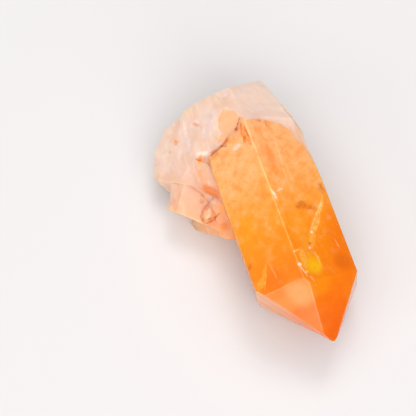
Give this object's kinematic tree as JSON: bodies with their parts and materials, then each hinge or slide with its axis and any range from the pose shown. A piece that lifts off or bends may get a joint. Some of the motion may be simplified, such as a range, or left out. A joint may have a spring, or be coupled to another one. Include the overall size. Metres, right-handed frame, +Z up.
{
  "type": "tangerine quartz specimen",
  "caption": "Stout six-sided quartz point, orange and partly clear towards its tip, lying on its side on its milky broken root.",
  "frame": {"origin": "centre of the footprint's bounding box, on the plane that the stone rests on", "axes": "+Z up; the crystal's long axis lies level along Y with its point looking along -Y and the broken root behind it; +X is across the crystal, away from the root's side lumps"},
  "size_m": [0.038, 0.0684, 0.025],
  "materials": {
    "quartz": "hazy orange crystal, clearer and redder towards the tip, with bright flat faces; the root is milky peach-white with a satin broken skin"
  },
  "bodies": {
    "root": {"tangerine_quartz": "quartz"}
  },
  "joints": []
}
